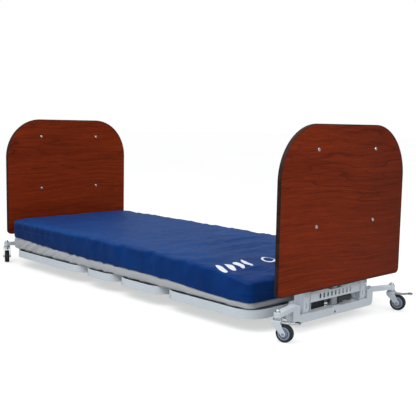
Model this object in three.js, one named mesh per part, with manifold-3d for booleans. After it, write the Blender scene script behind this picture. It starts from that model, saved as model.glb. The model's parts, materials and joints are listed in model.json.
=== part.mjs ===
// Floor-level adjustable hospital bed: two wheeled lift ends with telescopic masts, a four-section
// articulating deck of flat-bar ribbons, laminated head and foot boards and a foam mattress.
// Millimetres, +Z up. Origin on the floor under the middle of the overall length and width,
// +X to the foot end, +Y to the patient's left.
import * as THREE from "three";
import { mergeVertices } from "three/addons/utils/BufferGeometryUtils.js";
import Module from "manifold-3d";

const wasm = await Module();
wasm.setup();

// ---------------------------------------------------------------- driving dimensions
// Pairs are spans [from, to]. U is a lift end's own length axis: 0 at its outer face, and
// positive away from the bed.
const FOOT_FACE = 1086; // outer face of the foot lift frame
const HEAD_FACE = 1182.5; // outer face of the head lift frame, measured towards the head
const MAST_Y = 210; // masts and board bolts, either side of the centre line
const BOLT_Z = [464, 794];
const BEAM = { halfWidth: 297, z0: 38, z1: 74.5, depth: 38, wall: 3, corner: 22 };
const EAR = { y: 250, z: 117 }; // inner side and top of the beam's upturned ends
const PAD_Z = [BEAM.z1 - 0.5, 78]; // plates on the beam under the columns and actuator
const ARM = { rootU: -20, rootY: 278, radius: 17 };
const STEM = { foot: { u: 22, y: 425 }, head: { u: 1.461, y: 420 } }; // head u centres the origin
const CROSS_PLATE = { thick: 3, legZ: [87, 172], webZ: [120, 160], flange: 3 };
const SLEEVE = { width: 46, depth: 50, wall: 3, z: [80, 862] };
const SLEEVE_INNER_U = -CROSS_PLATE.thick - SLEEVE.depth; // face towards the bed
const MAST_U = SLEEVE_INNER_U + SLEEVE.depth / 2;
const MAST_SPAN = [MAST_Y - SLEEVE.width / 2, MAST_Y + SLEEVE.width / 2];
const COLUMN_GAP = 0.6; // between column and sleeve, all round
const COLUMN = {
  width: SLEEVE.width - 2 * (SLEEVE.wall + COLUMN_GAP),
  depth: SLEEVE.depth - 2 * (SLEEVE.wall + COLUMN_GAP),
  wall: 3,
  z: [78.4, 850],
};
const CROSSBAR = { half: 15, wall: 3, z: [826, 856] };
const LIFT = { y: 12, radius: 23, z0: COLUMN.z[0], z1: 790, rodRadius: 12.5, rodZ0: 104 };

const BOARD = { innerX: 1106.5, halfWidth: 450, z: [184, 903], thick: 19, band: 4 };
const BOARD_CORNER = { bottom: 25, top: 240 };

const CASTER = { radius: 38, trail: 35 };
const CASTERS = [
  // end, side, sign of Y, heading of the trailing wheel in degrees from +X
  ["foot", "right", -1, 15],
  ["foot", "left", 1, 15],
  ["head", "right", -1, -28],
  ["head", "left", 1, 28],
];

const RIB = { halfWidth: 455, thick: 6, z: [60, 100], corner: 100 };
const BACK = [-1043, -302]; // the four deck sections along X
const SEAT = [-299, 2];
const THIGH = [8, 383];
const CALF = [388, 985];
const middle = ([from, to]) => (from + to) / 2;
const HINGE = {
  // cross axes between the sections; barZ is the height the ears reach up to
  back: { x: middle([BACK[1], SEAT[0]]), z: 92, barZ: 92 },
  thigh: { x: middle([SEAT[1], THIGH[0]]), z: 92, barZ: 92 },
  calf: { x: middle([THIGH[1], CALF[0]]), z: 60, barZ: 72 },
};
const HINGE_EAR_Y = [-330, 290];
const RAIL = { y: [190, 230], z: [34, 59], x: [-1095.6, 1002.6], wall: 3 };
const CARRIAGE_GAP = 0.3; // between a carriage bracket and the sleeves
const CARRIAGE_X = [
  -HEAD_FACE - SLEEVE_INNER_U + CARRIAGE_GAP,
  FOOT_FACE + SLEEVE_INNER_U - CARRIAGE_GAP,
];
const CROSS_MEMBERS_X = [[-602, -571], [269, 300], [690, 720], [-860, -830]];
const SECTION_ACTUATOR_Z = 56.4;
const LEVER_REACH = 50; // hinge axis to rod eye, along X
const SECTION_ACTUATORS = {
  // push is the way the rod extends along X; tail and nose are the ends of the body
  back: { hinge: HINGE.back, push: -1, tail: 254, nose: -156, y: 105, blockX: [-328, -308] },
  knee: { hinge: HINGE.thigh, push: 1, tail: -556, nose: -146, y: -105, blockX: [13, 33] },
};
const MATTRESS = { x: [-1067, 964], halfWidth: 443, z: [101, 280] };

// ---------------------------------------------------------------- spans and outlines
const around = (centre, half) => [centre - half, centre + half];
const inset = ([from, to], by) => [from + by, to - by];
const shift = (span, by) => span.map((value) => value + by);
const onSide = (sign, [from, to]) => (sign > 0 ? [from, to] : [-to, -from]);
const bothSides = (build) => [-1, 1].flatMap((side) => build(side));

function arc(centreX, centreY, radius, startDegrees, endDegrees, steps) {
  return Array.from({ length: steps + 1 }, (_, i) => {
    const angle = ((startDegrees + ((endDegrees - startDegrees) * i) / steps) * Math.PI) / 180;
    return [centreX + radius * Math.cos(angle), centreY + radius * Math.sin(angle)];
  });
}
// The top corners take their own radius where one is given.
function roundedRect([x0, x1], [y0, y1], bottom, steps, top = bottom) {
  return [
    ...arc(x0 + bottom, y0 + bottom, bottom, 180, 270, steps),
    ...arc(x1 - bottom, y0 + bottom, bottom, 270, 360, steps),
    ...arc(x1 - top, y1 - top, top, 0, 90, steps),
    ...arc(x0 + top, y1 - top, top, 90, 180, steps),
  ];
}

// ---------------------------------------------------------------- solids
function solid(geometry) {
  const flat = geometry.index ? geometry.toNonIndexed() : geometry;
  const bare = new THREE.BufferGeometry();
  bare.setAttribute("position", flat.getAttribute("position"));
  const merged = mergeVertices(bare, 1e-4);
  return new wasm.Manifold(new wasm.Mesh({
    numProp: 3,
    vertProperties: merged.attributes.position.array,
    triVerts: new Uint32Array(merged.index.array),
  }));
}
const join = (...parts) => parts.reduce((a, b) => a.add(b));
const cut = (body, ...tools) => tools.reduce((a, b) => a.subtract(b), body);

function box(...spans) {
  const geometry = new THREE.BoxGeometry(...spans.map(([from, to]) => to - from));
  return solid(geometry.translate(...spans.map(middle)));
}
// Turned shape about +Z from [radius, height] pairs; the lathe's own axis is Y.
function turned(profile, segments) {
  const points = profile.map(([radius, z]) => new THREE.Vector2(radius, z));
  return solid(new THREE.LatheGeometry(points, segments).rotateX(Math.PI / 2));
}
const disc = (radius, z0, z1, segments) =>
  turned([[0, z0], [radius, z0], [radius, z1], [0, z1]], segments);
const toX = (body) => body.rotate([0, 90, 0]); // +Z to +X
const toY = (body) => body.rotate([-90, 0, 0]); // +Z to +Y

function prism(points, depth, holes = []) {
  const vectors = (outline) => outline.map(([a, b]) => new THREE.Vector2(a, b));
  const shape = new THREE.Shape(vectors(points));
  shape.holes = holes.map((hole) => new THREE.Path(vectors(hole)));
  const options = { depth, bevelEnabled: false, curveSegments: 1 };
  return solid(new THREE.ExtrudeGeometry(shape, options));
}
// Prisms drawn in the plan (X,Y), the side (X,Z) and the end view (Y,Z).
const inPlan = (points, [z0, z1], holes) => prism(points, z1 - z0, holes).translate([0, 0, z0]);
const inSide = (points, [y0, y1]) =>
  prism(points, y1 - y0).rotate([90, 0, 0]).translate([0, y1, 0]);
const inEnd = (points, [x0, x1], holes) =>
  prism(points, x1 - x0, holes).rotate([90, 0, 0]).rotate([0, 0, 90]).translate([x0, 0, 0]);

// ---------------------------------------------------------------- materials and placing
const finish = (options) => new THREE.MeshStandardMaterial(options);
const MATERIAL = {
  paint: finish({ color: 0xb6c0c9, roughness: 0.4, metalness: 0.3 }),
  steel: finish({ color: 0xb9bcc0, roughness: 0.3, metalness: 0.9 }),
  chrome: finish({ color: 0xd6d9dc, roughness: 0.12, metalness: 1 }),
  laminate: finish({ color: 0x74301c, roughness: 0.38, metalness: 0 }),
  edge: finish({ color: 0x2a1c19, roughness: 0.5, metalness: 0 }),
  tyre: finish({ color: 0x17181a, roughness: 0.7, metalness: 0 }),
  hub: finish({ color: 0x8fa2bb, roughness: 0.45, metalness: 0 }),
  motor: finish({ color: 0x2f3236, roughness: 0.5, metalness: 0 }),
  cover: finish({ color: 0x123a7a, roughness: 0.55, metalness: 0 }),
};
const bed = new THREE.Group();

function place(parent, name, body, material) {
  const { vertProperties, numProp, triVerts } = body.getMesh();
  const indexed = new THREE.BufferGeometry();
  indexed.setAttribute("position", new THREE.BufferAttribute(vertProperties, numProp));
  indexed.setIndex(new THREE.BufferAttribute(triVerts, 1));
  const geometry = indexed.toNonIndexed();
  geometry.computeVertexNormals();
  const mesh = new THREE.Mesh(geometry, material);
  mesh.name = name;
  parent.add(mesh);
}

// ---------------------------------------------------------------- lift ends
function beamOutline(by) {
  const { halfWidth, corner, z0, z1 } = BEAM;
  const outer = halfWidth - by;
  const inner = EAR.y + by;
  const tip = EAR.z - by;
  const top = z1 - by;
  return [
    ...arc(-halfWidth + corner, z0 + corner, corner - by, 180, 270, 5),
    ...arc(halfWidth - corner, z0 + corner, corner - by, 270, 360, 5),
    [outer, tip], [inner, tip], [inner, top], [-inner, top], [-inner, tip], [-outer, tip],
  ];
}

// Tapering in from the beam to a round end at the caster stem.
function casterArm(stemU, stemY, side) {
  const { rootU, radius } = ARM;
  const rootY = side * ARM.rootY;
  const runU = stemU - rootU;
  const runY = stemY - rootY;
  const length = Math.hypot(runU, runY);
  const normalU = (-runY / length) * radius;
  const normalY = (runU / length) * radius;
  const heading = (Math.atan2(runY, runU) * 180) / Math.PI;
  return inPlan([
    [rootU - normalU, rootY - normalY],
    ...arc(stemU, stemY, radius, heading - 90, heading + 90, 6),
    [rootU + normalU, rootY + normalY],
  ], [101, 121]);
}

// Channel beam open towards the bed, upturned ears, caster arms and their sockets.
function baseFrame(end) {
  const { depth, wall, halfWidth } = BEAM;
  let base = cut(
    inEnd(beamOutline(0), [-depth, 0]),
    inEnd(beamOutline(wall), [-depth - 1, -wall]),
    toX(disc(6, -10, 10, 10)).translate([0, 0, 51]), // hole in the web
  );
  const peak = [
    [-depth, EAR.z - 3], [0, EAR.z - 3], [-6, EAR.z + 6], [-depth / 2, 130], [-32, EAR.z + 6],
  ];
  for (const side of [-1, 1]) {
    const stemU = STEM[end].u;
    const stemY = side * STEM[end].y;
    base = join(
      base,
      casterArm(stemU, stemY, side),
      disc(15.5, 98, 122, 16).translate([stemU, stemY, 0]),
      inSide(peak, onSide(side, [halfWidth - 6, halfWidth])),
      box([-50, 0], around(side * MAST_Y, 29), PAD_Z),
    );
    base = cut(base, disc(6.9, 90, 130, 10).translate([stemU, stemY, 0]));
  }
  return join(base, box([-52, -3.5], around(LIFT.y, 26), PAD_Z));
}

function innerColumn(side) {
  const { width, depth, wall, z } = COLUMN;
  const outline = (by, radius) => roundedRect(
    around(MAST_U, depth / 2 - by), around(side * MAST_Y, width / 2 - by), radius, 2);
  return inPlan(outline(0, 3), z, [outline(wall, 1.5)]);
}

function mastSleeve(end, side) {
  const { width, depth, wall, z } = SLEEVE;
  const spanU = around(MAST_U, depth / 2);
  const spanY = around(side * MAST_Y, width / 2);
  let sleeve = inPlan(roundedRect(spanU, spanY, 3, 2), z);
  sleeve = cut(sleeve, box(inset(spanU, wall), inset(spanY, wall), [0, z[1] - 4]));
  for (const face of [-1, 1]) {
    const grooveY = around(side * MAST_Y + face * (width / 2 - 0.7), 0.9);
    for (const groove of [[-9, -4], [3, 8]]) { // shallow grooves on the side faces
      sleeve = cut(sleeve, box(shift(groove, MAST_U), grooveY, [70, z[1] + 1]));
    }
  }
  if (end === "head") return sleeve;
  const standoffs = BOLT_Z.map((boltZ) =>
    toX(disc(17, -4, 16.8, 12)).translate([0, side * MAST_Y, boltZ]));
  return join(sleeve, ...standoffs);
}

// On the outer faces of the sleeves: two legs and a flanged web with slots.
function crossPlate() {
  const { thick, flange, legZ: [leg0, leg1], webZ: [web0, web1] } = CROSS_PLATE;
  const [near, far] = MAST_SPAN;
  const flangesY = [[-near + 1, LIFT.y - 46], [LIFT.y + 46, near - 1]]; // clear of the actuator
  const slot = (y, halfWidth, z, radius) =>
    inEnd(roundedRect(around(y, halfWidth), z, radius, 2), [-10, 10]);
  let plate = inEnd([
    [-far, leg0], [-near, leg0], [-near, web0], [near, web0], [near, leg0], [far, leg0],
    [far, leg1], [near, leg1], [near, web1], [-near, web1], [-near, leg1], [-far, leg1],
  ], [-thick + 0.3, 0]);
  for (const z of [[web1 - flange, web1], [web0, web0 + flange]]) {
    plate = join(plate, ...flangesY.map((y) => box([-22, -1], y, z)));
  }
  for (let i = -4; i <= 4; i++) {
    plate = cut(plate, slot(i * 28, 6, [128, 152], 5.9));
  }
  return cut(plate, ...bothSides((side) => slot(side * MAST_Y, 4, [98, 122], 3.9)));
}

// Square tube between the masts that the lift rod pushes on.
function topCrossbar() {
  const { half, wall, z } = CROSSBAR;
  return cut(
    box(around(MAST_U, half), around(0, MAST_SPAN[0] - 0.3), z),
    box(around(MAST_U, half - wall), around(0, 400), inset(z, wall)),
  );
}

function liftTube() {
  const { radius, z0, z1, rodRadius } = LIFT;
  const bore = rodRadius + 1;
  return turned([
    [0, z0], [20, z0], [20, z0 + 5], [radius, z0 + 7], [radius, z1 - 6], [radius - 4, z1],
    [bore, z1], [bore, 95], [0, 95],
  ], 16).translate([MAST_U, LIFT.y, 0]);
}

function liftRod() {
  const rod = disc(LIFT.rodRadius, LIFT.rodZ0, CROSSBAR.z[0] - 0.4, 12);
  return join(rod, disc(17, 796, 806, 12)).translate([MAST_U, LIFT.y, 0]);
}

function liftMotor() {
  const y0 = LIFT.y + LIFT.radius + 0.4;
  return join(
    box(around(MAST_U, 18), [y0, y0 + 34], [84, 116]),
    toY(disc(15, 0, 78, 14)).translate([MAST_U, y0 + 30, 100]),
  );
}

const boardOutline = (by) => roundedRect(around(0, BOARD.halfWidth - by), inset(BOARD.z, by),
  BOARD_CORNER.bottom - by, 8, BOARD_CORNER.top - by);
const atBolts = (body, x) =>
  bothSides((side) => BOLT_Z.map((z) => toX(body).translate([x, side * MAST_Y, z])));

// Between masts and board: two strips and a tie, with studs and cap nuts through the board.
function boardMountingFrame([x0, x1], stripX0) {
  const stripX = [stripX0, x0 - 0.3];
  const stripZ = [BOLT_Z[0] - 30, BOLT_Z[1] + 30];
  const studEnd = stripX0 - x1 + 1;
  const stud = [[0, studEnd], [3.9, studEnd], [3.9, 0.3], [8, 0.3], [7, 3], [0, 4.8]];
  return join(
    ...bothSides((side) =>
      inEnd(roundedRect(around(side * MAST_Y, 16), stripZ, 8, 2), stripX)),
    box(stripX, around(0, MAST_Y), around(middle(BOLT_Z), 14)),
    ...atBolts(turned(stud, 10), x1),
  );
}

// Boards are built at their world position.
function placeBoard(end) {
  const { innerX, thick, band } = BOARD;
  const spanX = onSide(end === "foot" ? 1 : -1, [innerX, innerX + thick]);
  const stripX0 = spanX[0] - (end === "foot" ? 3.3 : 3.5);
  const panel = inEnd(boardOutline(band + 0.2), spanX);
  const bolts = atBolts(disc(4.5, -40, 40, 8), middle(spanX));
  const trim = inEnd(boardOutline(0), inset(spanX, -0.4), [boardOutline(band)]);
  place(bed, `${end}board_panel`, cut(panel, ...bolts), MATERIAL.laminate);
  place(bed, `${end}board_edge_trim`, trim, MATERIAL.edge);
  const mounting = boardMountingFrame(spanX, stripX0);
  place(bed, `${end}board_mounting_frame`, mounting, MATERIAL.steel);
}

function placeLiftEnd(end) {
  const group = new THREE.Group();
  group.position.x = end === "foot" ? FOOT_FACE : -HEAD_FACE;
  group.scale.x = end === "foot" ? 1 : -1;
  bed.add(group);
  const put = (name, body, material) => place(group, `${end}_${name}`, body, material);
  put("base_frame", baseFrame(end), MATERIAL.paint);
  for (const [sideName, side] of [["right", -1], ["left", 1]]) {
    put(`inner_column_${sideName}`, innerColumn(side), MATERIAL.steel);
    put(`mast_sleeve_${sideName}`, mastSleeve(end, side), MATERIAL.paint);
  }
  put("cross_plate", crossPlate(), MATERIAL.paint);
  put("top_crossbar", topCrossbar(), MATERIAL.paint);
  put("lift_actuator_tube", liftTube(), MATERIAL.steel);
  put("lift_actuator_rod", liftRod(), MATERIAL.chrome);
  put("lift_motor", liftMotor(), MATERIAL.motor);
}
for (const end of ["head", "foot"]) {
  placeLiftEnd(end);
  placeBoard(end);
}

// ---------------------------------------------------------------- casters
// Origin on the floor under the stem, wheel trailing along +X. Profiles are [radius, height].
const STEM_PROFILE = [
  [0, 91], [19, 91], [19, 96], [17, 97.6], [6, 97.6], [6, 122.4],
  [12.5, 122.4], [11, 126.2], [9.2, 131.6], [0, 135],
];
const TYRE_PROFILE = [
  [28, -13], [34, -14.5], [CASTER.radius, -8], [CASTER.radius, 8], [34, 14.5], [28, 13],
  [28, -13],
];
const HUB_PROFILE = [
  [4.8, -15.5], [10, -15.5], [11, -11], [27.4, -13], [27.4, 13], [11, 11], [10, 15.5],
  [4.8, 15.5], [4.8, -15.5],
];
const PEDAL_OUTLINE = [ // x, z
  [18, 79.6], [60, 79.6], [86, 84.5], [103, 84.5], [103, 91.5], [85, 91.5], [58, 86.5], [18, 86],
];
const onAxle = (body) => toY(body).translate([CASTER.trail, 0, CASTER.radius]);

// Two tapered side plates, a crown and the axle.
function casterFork() {
  const { trail, radius } = CASTER;
  const cheek = [
    [-17, 90.6], [-19, 84], [-15, 72], ...arc(trail, radius, 11.5, 200, 385, 6),
    [trail - 2, 66], [24, 78], [20, 90.6],
  ];
  return join(
    ...bothSides((side) => inSide(cheek, onSide(side, [18, 21]))),
    box([-17.5, 17], around(0, 20), [83, 90.6]),
    onAxle(disc(4, -24.5, 24.5, 10)),
  );
}

// A lever over the tyre, narrowed in the middle, that ends in a broad tread.
function brakePedal() {
  const notches = bothSides((side) => box([50, 80], onSide(side, [8, 13]), [70, 100]));
  return join(
    cut(inSide(PEDAL_OUTLINE, around(0, 12)), ...notches),
    toY(disc(3.4, -17.5, 17.5, 8)).translate([21.5, 0, 82.8]),
  );
}

for (const [end, sideName, side, heading] of CASTERS) {
  const { u, y } = STEM[end];
  const group = new THREE.Group();
  group.position.set(end === "foot" ? FOOT_FACE + u : -HEAD_FACE - u, side * y, 0);
  group.rotation.z = (heading * Math.PI) / 180;
  bed.add(group);
  const put = (part, body, material) =>
    place(group, `caster_${part}_${end}_${sideName}`, body, material);
  put("stem", turned(STEM_PROFILE, 12), MATERIAL.chrome);
  put("fork", casterFork(), MATERIAL.paint);
  put("tyre", onAxle(turned(TYRE_PROFILE, 20)), MATERIAL.tyre);
  put("hub", onAxle(turned(HUB_PROFILE, 14)), MATERIAL.hub);
  put("brake_pedal", brakePedal(), MATERIAL.chrome);
}

// ---------------------------------------------------------------- deck sections
// Flat-bar ribbon with rounded corners and a sheet pan inside it, relieved over the rails and
// above the given hinges.
function deckSection(span, hinges = []) {
  const { halfWidth, corner, thick, z } = RIB;
  const outline = (by) =>
    roundedRect(inset(span, by), around(0, halfWidth - by), corner - by, 5);
  const ribbon = inPlan(outline(0), z, [outline(thick)]);
  return cut(
    join(
      cut(ribbon, box(inset(span, -1), around(0, 240), [0, 78])),
      inPlan(outline(2), [88, 90.5]),
    ),
    ...hinges.map(({ x }) => box(around(x, 14), around(0, 600), [91.8, 120])),
  );
}

// Adds the section's ears at a hinge; towards is the way from the axis to the section.
// The pin-carrying ear spans y..y+8 and the turning ear y+9..y+17.
function addHinge(frame, { x, z, barZ }, towards, carriesPin) {
  for (const y of HINGE_EAR_Y) {
    const otherEar = shift(carriesPin ? [8.4, 17.8] : [-0.8, 8.6], y);
    const earY = carriesPin ? y : y + 9;
    const ear = join(
      toY(disc(7.6, 0, 8, 10)).translate([x, earY, z]),
      box(shift(onSide(towards, [0, 12]), x), [earY, earY + 8], [z - 5, barZ - 0.5]),
    );
    frame = join(cut(frame, box(around(x, 9), otherEar, [z - 16, 130])), ear);
    frame = carriesPin
      ? join(frame, toY(disc(4, 0, 20, 8)).translate([x, y + 1, z]))
      : cut(frame, toY(disc(4.8, -3, 12, 8)).translate([x, earY, z]));
  }
  return frame;
}

// Lever beside an actuator's rod eye, with its mounting block.
function addLever(frame, { hinge, push, y, blockX }) {
  const outline = [
    [-30, 90], [-12, 90], [-4, 74], [38, 66], ...arc(LEVER_REACH, 56, 10, 60, -90, 4),
    [-6, 46], [-30, 72],
  ].map(([x, z]) => [hinge.x - push * x, z]);
  const beside = (span) => shift(onSide(Math.sign(y), span), y);
  return join(
    frame,
    inSide(outline, beside([9.5, 15.5])),
    box(blockX, beside([5, 19]), [78, 90]),
  );
}

function backSection() {
  const frame = addHinge(deckSection(BACK, [HINGE.back]), HINGE.back, -1, false);
  return addLever(frame, SECTION_ACTUATORS.back);
}

function seatSection() {
  const frame = deckSection(SEAT, [HINGE.back, HINGE.thigh]);
  return addHinge(addHinge(frame, HINGE.back, 1, true), HINGE.thigh, -1, true);
}

function thighSection() {
  let frame = deckSection(THIGH, [HINGE.thigh]);
  frame = addHinge(frame, HINGE.thigh, 1, false);
  frame = addHinge(frame, HINGE.calf, -1, true);
  return addLever(frame, SECTION_ACTUATORS.knee);
}

place(bed, "back_section_frame", backSection(), MATERIAL.paint);
place(bed, "seat_section_frame", seatSection(), MATERIAL.paint);
place(bed, "thigh_section_frame", thighSection(), MATERIAL.paint);
const calfSection = addHinge(deckSection(CALF), HINGE.calf, 1, false);
place(bed, "calf_section_frame", calfSection, MATERIAL.paint);

// ---------------------------------------------------------------- main frame
// Channel rail open downwards, its carriage brackets, rest pads and seat posts.
function railSide(side) {
  const { x: [x0, x1], z: [z0, z1], wall } = RAIL;
  const y = onSide(side, RAIL.y);
  return [
    cut(
      box([x0 - 10, x1 + 10], y, RAIL.z),
      box([x0 + 8, x1 - 8], inset(y, wall), [z0 - 1, z1 - wall]),
    ),
    box([CARRIAGE_X[0], x0], y, [z0, 118]),
    box([x1, CARRIAGE_X[1]], y, [z0, 118]),
    box([-1052, -1028], inset(y, 6), [z1 - 1, 77.6]), // rest pad under the back section
    box([922, 990], inset(y, 6), [z1 - 1, 77.6]), // glide strip under the calf section
    box([SEAT[0] + 1, SEAT[0] + 26], inset(y, 2), [z1 - 1, 77.7]),
    box([SEAT[1] - 26, SEAT[1] - 1], inset(y, 2), [z1 - 1, 77.7]),
  ];
}

// Bar across the bed between the rails, hollowed by the inner X and Z spans.
const crossBar = (x, z, innerX, innerZ) => cut(
  box(x, around(0, RAIL.y[0] + 1), z),
  box(innerX, around(0, RAIL.y[0] - 3), innerZ),
);

// Slotted post that holds the tail of a section actuator.
const clevisPost = ({ push, tail, y }) => cut(
  box(shift(onSide(-push, [-10, 16]), tail), around(y, 13), [50, 72]),
  box(shift(onSide(-push, [-12, 10]), tail), around(y, 6.4), [47, 73]),
);

const mainFrame = join(
  ...bothSides(railSide),
  crossBar([CARRIAGE_X[0], -1098], [84, 118], [-1120, -1090], [88, 114]),
  crossBar([1005, CARRIAGE_X[1]], [84, 118], [1000, 1027], [88, 114]),
  ...CROSS_MEMBERS_X.map((x) => crossBar(x, [36, 58], inset(x, 3), [35, 55])),
  ...Object.values(SECTION_ACTUATORS).map(clevisPost),
);
place(bed, "deck_main_frame", mainFrame, MATERIAL.paint);

// ---------------------------------------------------------------- section actuators
// A tube with a gear motor at its tail, and a rod with an eye beside the lever.
function placeSectionActuator(name, { hinge, push, tail, nose, y }) {
  const along = (body) => (push > 0 ? toX(body) : toX(body).rotate([0, 0, 180]));
  const length = Math.abs(nose - tail);
  const eye = Math.abs(hinge.x - push * LEVER_REACH - tail);
  const tube = [
    [0, 14], [15, 14], [17, 18], [17, length - 8], [14, length],
    [8.9, length], [8.9, length - 82], [0, length - 82],
  ];
  const body = join(
    along(turned(tube, 12)),
    along(box([-16, 16], [-50, -12], [20, 112])),
    along(box([-8, 8], [-6, 6], [1.5, 16])),
    along(toY(disc(8, -6, 6, 10))),
  );
  const rod = join(
    along(disc(8, length - 74, eye - 6, 10)),
    toY(disc(10, -5, 5, 12)).translate([push * eye, 0, 0]),
  );
  const at = [tail, y, SECTION_ACTUATOR_Z];
  place(bed, `${name}_actuator_body`, body.translate(at), MATERIAL.motor);
  place(bed, `${name}_actuator_rod`, rod.translate(at), MATERIAL.chrome);
}
for (const [name, actuator] of Object.entries(SECTION_ACTUATORS)) {
  placeSectionActuator(name, actuator);
}

const controlBox = join(
  inPlan(roundedRect([560, 680], around(0, 70), 8, 3), [40, 74]),
  inPlan(roundedRect([566, 674], around(0, 64), 6, 3), [73, 77]),
);
place(bed, "control_box", controlBox, MATERIAL.motor);

// ---------------------------------------------------------------- mattress
// One block per section, parted by slanted joints. Outlines are x, z.
function placeMattress() {
  const { x: [x0, x1], z: [z0, z1], halfWidth } = MATTRESS;
  const lean = (degrees) => (z1 - z0) * Math.tan((degrees * Math.PI) / 180);
  const backLean = lean(30.5);
  const thighLean = lean(13.5);
  const [backEnd, seatStart] = around(HINGE.back.x, 6);
  const [seatEnd, thighStart] = around(HINGE.thigh.x, 3);
  const [thighEnd, calfStart] = around(HINGE.calf.x, 0.4);
  const outlines = {
    back: [[x0, z0], [backEnd, z0], [backEnd - backLean, z1], [x0 + 8, z1 + 4], [x0, z1 - 8]],
    seat: [
      [seatStart, z0], [seatEnd, z0], [seatEnd - thighLean, z1 - 2], [seatStart + backLean, z1],
    ],
    thigh: [
      [thighStart, z0], [thighEnd, z0], [thighEnd, z1 - 6], [thighStart + thighLean, z1 - 2],
    ],
    calf: [
      [calfStart, z0], [x1, z0], [x1, 226], [x1 - 40, 244], [700, 262], [452, z1 - 6],
      [calfStart, z1 - 6],
    ],
  };
  for (const [name, outline] of Object.entries(outlines)) {
    place(bed, `mattress_${name}`, inSide(outline, around(0, halfWidth)), MATERIAL.cover);
  }
}
placeMattress();

export default bed;
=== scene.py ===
import json
import math
import bpy
import bmesh
import numpy as np
from mathutils import Matrix, Vector, noise


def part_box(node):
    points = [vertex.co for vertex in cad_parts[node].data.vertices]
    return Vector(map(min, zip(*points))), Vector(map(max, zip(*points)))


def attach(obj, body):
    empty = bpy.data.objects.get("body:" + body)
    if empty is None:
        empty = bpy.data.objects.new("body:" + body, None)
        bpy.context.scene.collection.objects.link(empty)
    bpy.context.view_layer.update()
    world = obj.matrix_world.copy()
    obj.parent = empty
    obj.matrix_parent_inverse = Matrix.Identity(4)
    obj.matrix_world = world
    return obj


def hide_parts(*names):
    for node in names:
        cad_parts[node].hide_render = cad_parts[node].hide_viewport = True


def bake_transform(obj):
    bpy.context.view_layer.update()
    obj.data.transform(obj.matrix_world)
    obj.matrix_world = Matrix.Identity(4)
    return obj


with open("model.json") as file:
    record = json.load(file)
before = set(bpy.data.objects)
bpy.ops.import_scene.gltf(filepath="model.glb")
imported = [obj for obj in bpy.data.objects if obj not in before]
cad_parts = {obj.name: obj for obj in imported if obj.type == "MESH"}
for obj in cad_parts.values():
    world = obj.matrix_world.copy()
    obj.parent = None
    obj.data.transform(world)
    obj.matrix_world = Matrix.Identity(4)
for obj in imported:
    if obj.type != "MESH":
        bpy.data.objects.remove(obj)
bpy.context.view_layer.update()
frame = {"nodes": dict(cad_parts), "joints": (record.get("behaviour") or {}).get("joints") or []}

NODES = frame["nodes"]
scene = bpy.context.scene
scene.view_settings.view_transform = "Standard"
scene.view_settings.look = "None"
scene.view_settings.exposure = 0.0
RNG = np.random.default_rng(7)


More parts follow.
